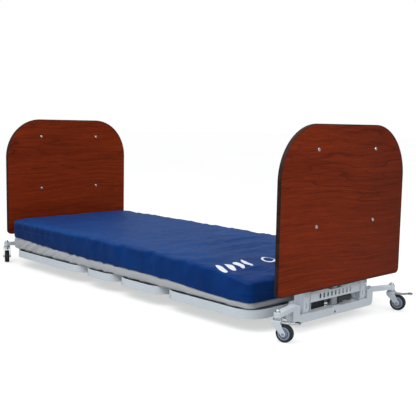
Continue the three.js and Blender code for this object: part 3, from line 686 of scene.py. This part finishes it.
# rows up the wall: nominal height, how far the wall stands out, grey (0) or blue (1) above this row
ROWS = [(101.0, 0, 0), (104, 0, 0), (107.5, 0, 0), (111.5, 0.3, 0), (116, 0.8, 0), (121, 1.0, 0), (126, 0.8, 0), (131, 0.2, 0), (135.5, -0.8, 0), (138.6, -2.2, 0),
        (140.0, -2.6, 1), (140.4, 1.6, 1), (141.6, 2.9, 1), (144, 3.1, 1), (149, 3.0, 1), (156, 3.3, 1), (163, 3.7, 1), (170, 4.0, 1), (177, 4.2, 1),
        (184, 4.3, 1), (191, 4.3, 1), (198, 4.2, 1), (205, 4.0, 1), (212, 3.8, 1), (219, 3.5, 1), (226, 3.1, 1), (233, 2.6, 1), (240, 2.1, 1),
        (246, 1.6, 1), (252, 1.1, 1), (258.5, 0.7, 1), (265, 0.4, 1), (272, 0.2, 1), (280.0, 0, 1)]


def shape(qx, qy, qz, off):
    """Rounded-box position and outward direction for raw box points, then the height profile."""
    up = qz > 190
    rz = np.where(up, EDGE_R, FOOT_R)
    r = 34.0
    cx, cy = np.clip(qx, MX0 + r, MX1 - r), np.clip(qy, -MHW + r, MHW - r)
    cz = np.where(up, np.minimum(qz, 280 - EDGE_R), np.maximum(qz, 101 + FOOT_R))
    d = np.stack([(qx - cx) / r, (qy - cy) / r, (qz - cz) / rz], 1)
    m, l = np.abs(d).max(1), np.linalg.norm(d, axis=1)
    k = np.where(l > 1e-9, m / np.maximum(l, 1e-9), 0)[:, None]
    u = d * k
    p = np.stack([cx + u[:, 0] * r, cy + u[:, 1] * r, cz + u[:, 2] * rz], 1)
    h = d[:, :2] / np.maximum(np.linalg.norm(d[:, :2], axis=1), 1e-9)[:, None]
    p[:, :2] += h * off[:, None]
    s, t = seam_z(p[:, 0]), top_z(p[:, 0], p[:, 1])
    z = p[:, 2]
    p[:, 2] = np.where(z < 140, MZ0 + (z - 101) / 39 * (s - MZ0), s + (z - 140) / 140 * (t - s))
    return p


def lattice(xs, ys, rows):
    nx, ny, nz = len(xs) - 1, len(ys) - 1, len(rows) - 1
    idx = -np.ones((nx + 1, ny + 1, nz + 1), int)
    on = np.zeros_like(idx, bool)
    on[0], on[-1], on[:, 0], on[:, -1], on[:, :, 0], on[:, :, -1] = (True,) * 6
    idx[on] = np.arange(on.sum())
    i, j, k = np.nonzero(on)
    off = np.array([r[1] for r in rows], float)[k]
    wall = (i == 0) | (i == nx) | (j == 0) | (j == ny)
    p = shape(xs[i], ys[j], np.array([r[0] for r in rows])[k], np.where(wall, off, 0))
    faces, tag, span = [], [], []

    def quads(a, blue, lo):
        q = np.stack([a[:-1, :-1], a[1:, :-1], a[1:, 1:], a[:-1, 1:]], -1).reshape(-1, 4)
        faces.append(q); tag.append(np.broadcast_to(blue, a[:-1, :-1].shape).reshape(-1)); span.append(np.broadcast_to(lo, a[:-1, :-1].shape).reshape(-1))

    blue = np.array([r[2] for r in rows])[:-1]
    I = np.arange(nx)[:, None]
    quads(idx[:, :, -1], 1, I)
    quads(idx[:, ::-1, 0], 0, I)
    quads(idx[:, 0, :], blue[None, :], I)
    quads(idx[::-1, -1, :], blue[None, :], np.arange(nx)[::-1][:, None])
    quads(idx[0, ::-1, :], blue[None, :], 0)
    quads(idx[-1, :, :], blue[None, :], nx - 1)
    return p, np.concatenate(faces), np.concatenate(tag), np.concatenate(span), idx


def normals(p, f):
    a, b, c, d = (p[f[:, i]] for i in range(4))
    n = np.cross(c - a, d - b)
    out = np.zeros_like(p)
    for i in range(4):
        np.add.at(out, f[:, i], n)
    return out / np.maximum(np.linalg.norm(out, axis=1), 1e-12)[:, None]


def waves(n, lo, hi, sx, sy, seed):
    """Smooth random field of unit spread: n plane waves, wavelengths lo..hi mm, stretched by sx, sy."""
    g = np.random.default_rng(seed)
    a, l, ph = g.uniform(0, 2 * math.pi, n), g.uniform(lo, hi, n), g.uniform(0, 2 * math.pi, n)
    kx, ky = 2 * math.pi / l * np.cos(a) / sx, 2 * math.pi / l * np.sin(a) / sy
    return lambda x, y: np.cos(x[..., None] * kx + y[..., None] * ky + ph).sum(-1) / math.sqrt(n / 2)


def fold(x, y, path, amp, sigma, lean=0.55, fade=0.25):
    """A raised crease with a trough on one side, along a polyline, fading out at its ends."""
    path = np.array(path, float)
    seg = np.diff(path, axis=0)
    ln = np.linalg.norm(seg, axis=1)
    tot, run = ln.sum(), 0.0
    best, side, at = np.full(x.shape, 1e9), np.zeros(x.shape), np.zeros(x.shape)
    for (ax, ay), (dx, dy), l in zip(path[:-1], seg, ln):
        t = np.clip(((x - ax) * dx + (y - ay) * dy) / l**2, 0, 1)
        ex, ey = x - ax - t * dx, y - ay - t * dy
        d = np.hypot(ex, ey)
        near = d < best
        best = np.where(near, d, best)
        side = np.where(near, np.sign(dx * ey - dy * ex), side)
        at = np.where(near, (run + t * l) / tot, at)
        run += l
    s = best * side / sigma
    env = np.clip(at / fade, 0, 1) * np.clip((1 - at) / fade, 0, 1)
    env = env * env * (3 - 2 * env)
    return amp * env * (np.exp(-s * s) - lean * np.exp(-((s - 1.7) ** 2) / 1.4))


def crumple(p, n):
    """How far the cloth stands off the smooth shape, in mm along the normal."""
    x, y, z = p.T
    up = np.clip((n[:, 2] - 0.25) / 0.5, 0, 1)
    wall = np.clip((0.8 - np.abs(n[:, 2])) / 0.5, 0, 1)
    seam, top = seam_z(x), top_z(x, y)
    blue = 1 / (1 + np.exp(-(z - seam) / 1.5))
    soft = waves(18, 160, 420, 1, 1, 3)(x, y)
    d = up * 1.0 * soft
    # broad hollow where people sit, and the slope to the foot
    d -= up * 2.2 * np.exp(-(((x + 120) / 330) ** 2) - ((y / 260) ** 2))
    # creases across the bed
    explicit = [
        ([(384, -315), (378, -213), (340, -25), (322, 175), (360, 400)], 3.4, 10), ([(424, -240), (409, -68), (386, 109), (402, 350)], 2.4, 8),
        ([(506, -235), (486, -33), (515, 209), (530, 330)], 2.8, 9), ([(567, -285), (588, -103), (608, 112), (600, 260)], 2.4, 8),
        ([(460, -120), (450, 60), (462, 240)], 1.5, 6), ([(640, -200), (660, 0), (655, 240)], 1.6, 8),
        ([(802, -425), (825, -282), (829, -133), (820, 40)], 2.6, 9), ([(860, -440), (886, -300), (880, -120)], 1.8, 7), ([(720, -60), (742, 150), (735, 330)], 1.8, 8),
        ([(-482, 103), (-361, 205), (-280, 395)], 2.4, 10), ([(-214, -109), (-151, -11), (15, 60)], 1.8, 9), ([(-60, -300), (-28, -131), (0, 7), (20, 150)], 2.0, 8),
        ([(-705, 60), (-666, 198), (-596, 300)], 2.0, 10), ([(-480, -60), (-416, 18), (-402, 130)], 1.8, 8), ([(-215, -205), (-160, -149), (-158, -60)], 1.6, 8),
        ([(-560, 150), (-500, 280), (-430, 400)], 1.7, 9), ([(120, -180), (100, 20), (130, 230)], 1.6, 8), ([(210, -60), (190, 120), (215, 330)], 2.0, 9), ([(260, -330), (280, -160), (262, 20)], 1.5, 8),
        ([(-330, 60), (-250, 220), (-190, 400)], 1.9, 9), ([(-90, 130), (-40, 290), (0, 410)], 1.8, 9),
    ]
    w = np.zeros_like(x)
    for path, amp, sig in explicit:
        w += fold(x, y, path, amp * (1.9 if path[0][0] > 150 else 1.2), sig * 0.9)
    g = np.random.default_rng(11)
    for _ in range(46):
        cx, cy = g.uniform(-520, 900), g.uniform(-330, 400)
        L, a, b = g.uniform(70, 210), g.normal(0, 14), g.normal(0, 22)
        w += fold(x, y, [(cx - b, cy - L / 2), (cx + a, cy), (cx + b, cy + L / 2)], g.uniform(0.6, 1.9) * (1.0 if cx > 150 else 0.6), g.uniform(4.5, 8))
    d += up * w
    # shoulder puckers: short slanting folds over the long upper edges
    for sy in (-1, 1):
        t = np.where(np.abs(n[:, 1]) * wall > np.abs(n[:, 2]) * 0.9, -(top - 4 - z), MHW - 14 - sy * y)      # unrolled over the edge
        near = (sy * y > MHW - 110)
        edge = np.zeros_like(x)
        q = np.random.default_rng(21 + sy)
        c = -1010.0
        while c < 900:
            amp = (8.0 if c < 430 else 3.0) * q.uniform(0.25, 1.0) * (1.0 if sy < 0 else 0.3)
            k = q.uniform(12, 40)
            e = q.uniform(22, 60)
            edge += fold(x, t, [(c - k, -e), (c - 4, -12), (c + k * 0.8, 12), (c + k * 2.0, 26 + e * 0.6)], amp, q.uniform(11, 22), 0.8, 0.4)
            c += q.uniform(48, 150)
        d += np.where(near, edge, 0)
    # side of the cover: a long lying crease near the head, faint slanting pulls, and a lying tuck low down at the foot end
    side = wall * blue
    lie = 229 + 3 * np.sin(x / 170)
    d -= side * 4.6 * np.exp(-(((z - lie) / 5.5) ** 2)) * np.clip((-430 - x) / 260, 0, 1)
    d += side * 2.4 * np.exp(-(((z - lie + 13) / 8) ** 2)) * np.clip((-430 - x) / 260, 0, 1)
    tuck = 163 + 2 * np.sin((x + y) / 90)
    at_foot = np.clip((x - 860) / 90, 0, 1)
    d += side * at_foot * 1.6 * (2.0 * np.exp(-(((z - tuck - 5) / 4.5) ** 2)) - 2.6 * np.exp(-(((z - tuck) / 2.8) ** 2)))
    d += side * 0.7 * waves(20, 70, 230, 1.3, 0.8, 8)(x + y * 0.9, z)
    d += side * 0.9 * np.exp(-(((z - seam - 8) / 4) ** 2)) * waves(12, 40, 110, 1, 2, 14)(x + y, z)
    # grey base: slanting gathers, deep at the head end and dying away towards the foot
    grey = wall * (1 - blue) * np.clip((z - 103) / 8, 0, 1)
    h = np.clip((-150 - x) / 700, 0, 1)
    u = x - 1.75 * (z - 150)
    gather = np.zeros_like(x)
    for c, wd, dp in ((-1038, 15, 0.7), (-1012, 12, 1.0), (-960, 20, 0.5), (-930, 11, 1.0), (-862, 16, 0.9), (-838, 11, 0.6), (-770, 22, 0.8), (-742, 12, 1.0), (-655, 18, 0.8),
                      (-628, 12, 0.5), (-540, 24, 0.7), (-500, 14, 0.5), (-410, 20, 0.6), (-330, 16, 0.5), (-210, 22, 0.5), (60, 20, 0.5), (330, 18, 0.4)):
        gather += dp * (0.45 * np.exp(-(((u - c + wd * 1.1) / wd) ** 2)) - 1.15 * np.exp(-(((u - c) / (wd * 0.42)) ** 2)))
    d += grey * (0.8 + 5.6 * h) * gather
    d += grey * 0.7 * waves(16, 70, 240, 1.4, 1, 5)(x + y, z)
    # fine crinkle everywhere
    d += blue * 0.16 * waves(26, 22, 60, 1, 1.7, 31)(x, y + 0.6 * z) * (0.5 + 0.5 * np.tanh(soft))
    return d


def puff(co, pin, faces):
    """Pressurises a coarse, slightly oversize copy of the cover as cloth, its underside held and the rest held softly to the foam, and returns how far each point moved."""
    me = bpy.data.meshes.new("cloth_work")
    me.from_pydata((co / 1000).tolist(), [], faces.tolist())
    o = link(bpy.data.objects.new("cloth_work", me))
    vg = o.vertex_groups.new(name="pin")
    for v, w in enumerate(pin):
        if w > 0:
            vg.add([v], float(w), "REPLACE")
    m = o.modifiers.new("cloth", "CLOTH")
    s = m.settings
    s.quality, s.mass = 6, 0.25
    s.tension_stiffness = s.compression_stiffness = 14
    s.shear_stiffness, s.bending_stiffness = 6, 3.0
    s.tension_damping = s.compression_damping = 8
    s.vertex_group_mass, s.pin_stiffness = "pin", 1
    s.use_pressure, s.uniform_pressure_force = True, 0.4
    s.shrink_min = -0.02          # the cover is a little larger than the foam, so it wrinkles
    s.effector_weights.gravity = 0
    m.collision_settings.use_collision = False
    m.point_cache.frame_start, m.point_cache.frame_end = 1, 20
    for f in range(1, 21):
        scene.frame_set(f)
    dg = bpy.context.evaluated_depsgraph_get()
    ev = o.evaluated_get(dg)
    out = np.zeros(len(me.vertices) * 3, np.float32)
    ev.data.vertices.foreach_get("co", out)
    scene.frame_set(1)
    bpy.data.objects.remove(o)
    bpy.data.meshes.remove(me)
    return out.reshape(-1, 3).astype(float) * 1000 - co


def mattress():
    step = 8.5
    xs = graded(MX0, MX1, step, 34, 5.7)
    ys = graded(-MHW, MHW, step, 34, 5.7)
    cut = [int(np.argmin(np.abs(xs - s))) for s in SPLIT]
    p, f, blue, span, idx = lattice(xs, ys, ROWS)
    base = p.copy()
    cr = [ROWS[i] for i in (0, 3, 6, 9, 12, 15, 18, 21, 24, 27, 30, 33)]
    cp, cf, _, _, _ = lattice(graded(MX0, MX1, 17, 34, 11.4), graded(-MHW, MHW, 17, 34, 11.4), cr)
    low = seam_z(cp[:, 0])
    pin = np.clip((low + 12 - cp[:, 2]) / 14, 0.2, 1)
    mv = puff(cp, pin, cf)
    size = np.linalg.norm(mv, axis=1)
    print("cloth moved, mm: mean %.2f max %.2f" % (size.mean(), size.max()))
    mv *= np.minimum(1, 12.0 / np.maximum(size, 1e-9))[:, None]
    # flatter towards the head, fuller at the foot
    lid = (0.32 + 0.42 * np.clip((cp[:, 0] + 250) / 550, 0, 1)) * (1 - 0.55 * np.clip((cp[:, 1] - 250) / 150, 0, 1))
    drop = np.clip((top_z(cp[:, 0], cp[:, 1]) - cp[:, 2] - 20) / 40, 0, 1)       # 0 at the shoulder, 1 down the side
    mv *= np.where(normals(cp, cf)[:, 2] > 0.5, lid, (0.75 - 0.47 * drop) * (1 - 0.4 * (cp[:, 1] > 300)))[:, None]
    from mathutils.kdtree import KDTree
    tree = KDTree(len(cp))
    for i, c in enumerate(cp):
        tree.insert(c, i)
    tree.balance()
    add = np.zeros_like(p)
    for i, c in enumerate(base):
        hit = tree.find_n(c, 6)
        w = np.array([math.exp(-((h[2] / 12.0) ** 2)) + 1e-6 for h in hit])
        add[i] = (w[:, None] * mv[[h[1] for h in hit]]).sum(0) / w.sum()
    # the crown already holds the cover's mean height: keep the folds, not the overall swelling
    n0 = normals(base, f)
    out = (add * n0).sum(1)
    flat = n0[:, 2] > 0.8
    add[flat, 2] -= out[flat].mean() * np.clip((n0[flat, 2] - 0.8) / 0.15, 0, 1)
    p = p + add
    n = normals(p, f)
    p = p + n * crumple(base, n)[:, None]
    p[:, 2] = np.maximum(p[:, 2], MZ0)
    n = normals(p, f)
    ranges = [(0, cut[0]), (cut[0], cut[1]), (cut[1], len(xs) - 1)]
    spec = [("back", "back_section", "deck", "back_raise", (-1.30, 0.80), ["mattress_back"]),
            ("seat", "deck", "thigh_section", "knee_raise", (-0.75, 0.75), ["mattress_seat"]),
            ("legs", "thigh_section", "calf_section", "calf_drop", (-0.45, 0.55), ["mattress_thigh", "mattress_calf"])]
    top = len(ROWS) - 1
    for (lo, hi), (tag, a, b, joint, (u0, u1), nodes) in zip(ranges, spec):
        pick = (span >= lo) & (span < hi)
        ff, fb = f[pick], blue[pick]
        used = np.unique(ff)
        remap = -np.ones(len(p), int)
        remap[used] = np.arange(len(used))
        me = bpy.data.meshes.new(f"cover_{tag}")
        polys = remap[ff].tolist()
        rings = []
        for i, sgn in ((lo, -1), (hi, 1)):
            if 0 < i < len(xs) - 1:
                ring = [idx[i, j, 0] for j in range(len(ys))] + [idx[i, -1, k] for k in range(1, top + 1)] \
                    + [idx[i, j, top] for j in range(len(ys) - 2, -1, -1)] + [idx[i, 0, k] for k in range(top - 1, 0, -1)]
                if sgn < 0:
                    ring = ring[::-1]
                rings.append((remap[ring].tolist(), sgn))
        me.from_pydata((p[used] / 1000).tolist(), [], polys + [r for r, _ in rings])
        me.materials.append(COVER)
        me.materials.append(GREY)
        me.polygons.foreach_set("material_index", np.concatenate([1 - fb, np.ones(len(rings), int)]).astype(np.int32))
        me.polygons.foreach_set("use_smooth", np.concatenate([np.ones(len(ff), bool), np.zeros(len(rings), bool)]))
        ring_edges = {tuple(sorted((r[i], r[i - 1]))) for r, _ in rings for i in range(len(r))}
        if ring_edges:
            sh = me.attributes.new("sharp_edge", "BOOLEAN", "EDGE")
            ev = np.zeros(len(me.edges) * 2, np.int32)
            me.edges.foreach_get("vertices", ev)
            sh.data.foreach_set("value", np.array([tuple(sorted(e)) in ring_edges for e in ev.reshape(-1, 2).tolist()]))
        rest = me.attributes.new("rest", "FLOAT_VECTOR", "POINT")
        rest.data.foreach_set("vector", (base[used] / 1000).astype(np.float32).ravel())
        me.update()
        nv = n[used]
        ln = np.concatenate([nv[np.array(polys).ravel()]] + [np.tile([float(s), 0, 0], (len(r), 1)) for r, s in rings])
        me.normals_split_custom_set(ln.tolist())
        o = link(bpy.data.objects.new(f"mattress_cover_{tag}", me))
        hx, hz = HINGE[joint]
        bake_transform(o)
        # bend weights across the hinge, sharp at the pans and widening with height, so the underside would keep to the
        # two pans; they are computed here but not stored or applied
        x, z = base[used, 0], base[used, 2]
        h = np.maximum(z - hz, 6.0) * (1.0 if joint != "calf_drop" else 0.9)
        t = np.clip(((x - hx) / h - u0) / (u1 - u0), 0, 1)
        w = t * t * (3 - 2 * t)
        w[np.isclose(x, xs[lo]) & (lo > 0)] = 0
        w[np.isclose(x, xs[hi]) & (hi < len(xs) - 1)] = 1
        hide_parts(*nodes)


def cover_material():
    """Coated stretch nylon: deep blue, a tight knit, a soft sheen painted onto the lid as a paler tint, painted shade
    deepening the sides towards the head, and a plain white printed motif near the foot corner.
    """
    k = Mat("blue_cover")
    co = k.coords("rest")
    x, y, z = k.xyz(co)
    tone = k.noise(co, 5, 3, 0.55)
    mottle = k.noise(co, 42, 3, 0.6)
    base = k.mix(k.ramp(tone, [(0.3, 0.0), (0.7, 1.0)]), srgb(0, 40, 99), srgb(1, 52, 117))
    base = k.mix(k.math("MULTIPLY", mottle, 0.22), base, srgb(4, 66, 136))
    # painted light and shade: the lid is painted a little paler than the sides as painted sheen, and the sides are
    # painted deepest at the head as painted shade
    lid = k.math("MULTIPLY_ADD", z, 60.0, -15.0, clamp=True)
    deep = k.math("MULTIPLY", k.math("MULTIPLY_ADD", lid, -1.0, 1.0), k.math("MULTIPLY_ADD", x, -0.8, 0.1, clamp=True))
    base = k.mix(k.math("MULTIPLY", lid, 0.13), base, srgb(52, 100, 150))
    base = k.mix(k.math("MULTIPLY", deep, 0.5), base, srgb(0, 22, 62))
    # motif: a row of four slanting ovals across the bed, and a plain ring
    def band(v, a, b, soft=0.0012):
        up = k.math("MULTIPLY_ADD", v, 1 / soft, -a / soft, clamp=True)
        dn = k.math("MULTIPLY_ADD", v, -1 / soft, b / soft, clamp=True)
        return k.math("MULTIPLY", up, dn)
    def radius(cx, cy, sx, sy, yy):
        return k.math("SQRT", k.math("ADD", k.math("POWER", k.math("MULTIPLY_ADD", x, 1 / sx, -cx / sx), 2.0), k.math("POWER", k.math("MULTIPLY_ADD", yy, 1 / sy, -cy / sy), 2.0)))
    ys = k.math("ADD", y, k.math("MULTIPLY", x, 0.28))
    mark = None
    for c in (-0.196, -0.142, -0.088, -0.034):
        m = k.math("MULTIPLY_ADD", radius(0.757, c, 0.050, 0.0165, ys), -24.0, 24.0, clamp=True)
        mark = m if mark is None else k.math("MAXIMUM", mark, m)
    mark = k.math("MAXIMUM", mark, band(radius(0.764, -0.105, 1.0, 1.0, y), 0.024, 0.036))
    mark = k.math("MULTIPLY", mark, k.math("GREATER_THAN", z, 0.215))
    worn = k.ramp(k.noise(co, 260, 3, 0.7), [(0.30, 0.75), (0.45, 1.0)])
    base = k.mix(k.math("MULTIPLY", mark, worn), base, srgb(226, 230, 236))
    w1 = k.node("ShaderNodeTexWave", wave_type="BANDS", bands_direction="X"); w1.inputs["Scale"].default_value = 330; w1.inputs["Distortion"].default_value = 0.4
    w2 = k.node("ShaderNodeTexWave", wave_type="BANDS", bands_direction="Y"); w2.inputs["Scale"].default_value = 330; w2.inputs["Distortion"].default_value = 0.4
    k.link(co, w1.inputs["Vector"]); k.link(co, w2.inputs["Vector"])
    knit = k.math("ADD", w1.outputs["Fac"], w2.outputs["Fac"])
    crinkle = k.noise(k.mapping(co, (34, 13, 30)), 1.0, 4, 0.6, 0.6)
    nrm = k.bump(knit, 0.05, 0.0003, k.bump(crinkle, 0.26, 0.0030))
    return k.set(color=base, rough=k.ramp(mottle, [(0.3, 0.44), (0.7, 0.54)]), normal=nrm, spec=0.09)


def grey_material():
    """Woven grey base cloth with soft shading in its gathers."""
    k = Mat("grey_base")
    co = k.coords("rest")
    tone = k.noise(co, 7, 3, 0.6)
    thread = k.noise(k.mapping(co, (900, 900, 240)), 1.0, 2, 0.6)
    base = k.mix(tone, srgb(168, 172, 176), srgb(190, 194, 197))
    base = k.mix(k.math("MULTIPLY", thread, 0.25), base, srgb(140, 146, 153))
    w = k.node("ShaderNodeTexWave", wave_type="BANDS", bands_direction="Z"); w.inputs["Scale"].default_value = 260
    k.link(co, w.inputs["Vector"])
    crease = k.noise(k.mapping(co, (26, 26, 60), rot=(0, 0.6, 0)), 1.0, 3, 0.6)
    return k.set(color=base, rough=0.82, normal=k.bump(w.outputs["Fac"], 0.12, 0.0004, k.bump(crease, 0.3, 0.002)), spec=0.2)


COVER = cover_material()
GREY = grey_material()
mattress()


# ------------------------------------------------------------------ floor, light, camera
def floor():
    me = bpy.data.meshes.new("floor")
    s = 60
    me.from_pydata([(-s, -s, 0), (s, -s, 0), (s, s, 0), (-s, s, 0)], [], [(0, 1, 2, 3)])
    k = Mat("pale_floor")
    d = k.noise(k.coords(), 0.6, 2)
    lp = k.node("ShaderNodeLightPath")
    k.set(color=k.mix(lp.outputs["Is Camera Ray"], (0.42, 0.42, 0.42), k.ramp(d, [(0.3, 0.50), (0.7, 0.52)])), rough=0.7, spec=0.1)
    k.b.inputs["Emission Color"].default_value = (1, 1, 1, 1)
    k.put(k.b.inputs["Emission Strength"], k.math("MULTIPLY", lp.outputs["Is Camera Ray"], 0.55))
    me.materials.append(k.m)
    o = link(bpy.data.objects.new("floor", me))


floor()
world = bpy.data.worlds.new("studio")
scene.world = world
world.use_nodes = True
t = world.node_tree
bg = t.nodes["Background"]
geo = t.nodes.new("ShaderNodeTexCoord")
sep = t.nodes.new("ShaderNodeSeparateXYZ")
t.links.new(geo.outputs["Generated"], sep.inputs[0])
sky = t.nodes.new("ShaderNodeValToRGB")
sky.color_ramp.elements[0].position, sky.color_ramp.elements[0].color = 0.02, (0.16, 0.17, 0.18, 1)
sky.color_ramp.elements[1].position, sky.color_ramp.elements[1].color = 0.75, (1.0, 1.0, 1.0, 1)
t.links.new(sep.outputs[2], sky.inputs[0])
lp = t.nodes.new("ShaderNodeLightPath")
mx = t.nodes.new("ShaderNodeMix")
mx.data_type = "RGBA"
t.links.new(lp.outputs["Is Camera Ray"], mx.inputs[0])
t.links.new(sky.outputs[0], mx.inputs[6])
mx.inputs[7].default_value = (1.0, 1.0, 1.0, 1)
t.links.new(mx.outputs[2], bg.inputs[0])
bg.inputs[1].default_value = 1.0


def area(name, loc, target, size, power, colour=(1, 1, 1)):
    l = bpy.data.lights.new(name, "AREA")
    l.shape = "RECTANGLE"
    l.size, l.size_y = size
    l.energy = power
    l.color = colour
    o = link(bpy.data.objects.new(name, l))
    o.location = loc
    o.rotation_euler = (Vector(target) - Vector(loc)).to_track_quat("-Z", "Y").to_euler()
    return o


area("key", (0.6, -2.6, 3.4), (0.1, 0, 0.3), (3.6, 2.4), 95)
area("fill", (4.2, 0.6, 2.4), (0.6, 0, 0.4), (2.6, 2.0), 42)

cam_data = bpy.data.cameras.new("camera")
cam = link(bpy.data.objects.new("camera", cam_data))
yaw, pitch, roll = 2.381140, -0.117251, 0.018598
fwd = Vector((math.cos(pitch) * math.cos(yaw), math.cos(pitch) * math.sin(yaw), math.sin(pitch)))
right = fwd.cross(Vector((0, 0, 1))).normalized()
up = right.cross(fwd)
c, s = math.cos(roll), math.sin(roll)
right, up = c * right + s * up, -s * right + c * up
cam.matrix_world = axes((3083.3, -2716.3, 891.2), right, up, -fwd)
cam_data.sensor_width = 36
cam_data.lens = 741.7 / 416 * 36
cam_data.shift_x = (208 - 207.66) / 416
cam_data.shift_y = (211.73 - 208) / 416
cam_data.clip_end = 200
scene.camera = cam
